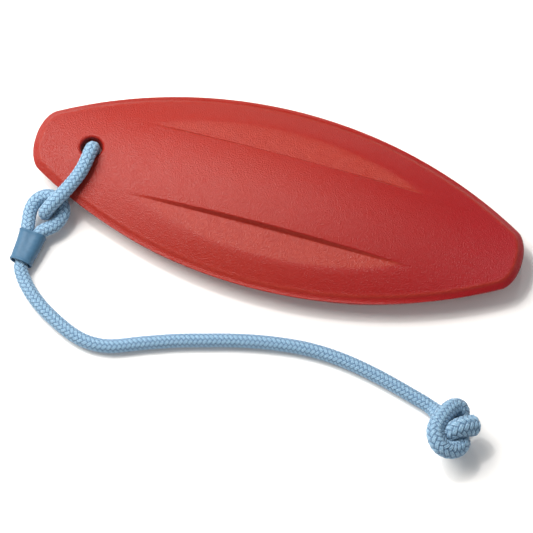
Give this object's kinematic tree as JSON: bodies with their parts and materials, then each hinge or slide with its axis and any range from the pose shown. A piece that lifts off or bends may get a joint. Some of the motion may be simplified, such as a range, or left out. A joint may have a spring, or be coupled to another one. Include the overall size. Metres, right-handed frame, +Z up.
{
  "type": "bobber float",
  "caption": "Surfboard-shaped moulded foam float with scooped deck, a closed rope loop through its end hole, and a sleeved eye tether ending in an overhand knot.",
  "frame": {"origin": "the middle of the foam float's flat belly, on the surface it lies on", "axes": "+X runs along the float from its hole end to its plain end, +Y runs across it away from the tether, and +Z is up out of the scooped deck"},
  "size_m": [0.2832, 0.1765, 0.032],
  "materials": {
    "foam": "satin",
    "rope": "matte",
    "sleeve": "satin"
  },
  "bodies": {
    "float": {"float_body": "foam"},
    "board_loop": {"board_loop": "rope"},
    "tether": {"tether_eye": "rope", "eye_sleeve": "sleeve", "tether_tail": "rope", "end_knot": "rope"}
  },
  "joints": [
    {"name": "loop_swing", "type": "hinge", "parent": "float", "child": "board_loop", "pos_m": [-0.1076, -0.0006, 0.015], "axis": [0, 0, 1], "range_deg": [-20, 4]},
    {"name": "eye_swing", "type": "hinge", "parent": "board_loop", "child": "tether", "pos_m": [-0.1213, -0.0375, 0.0125], "axis": [0, 0, 1], "range_deg": [-5, 4]}
  ]
}
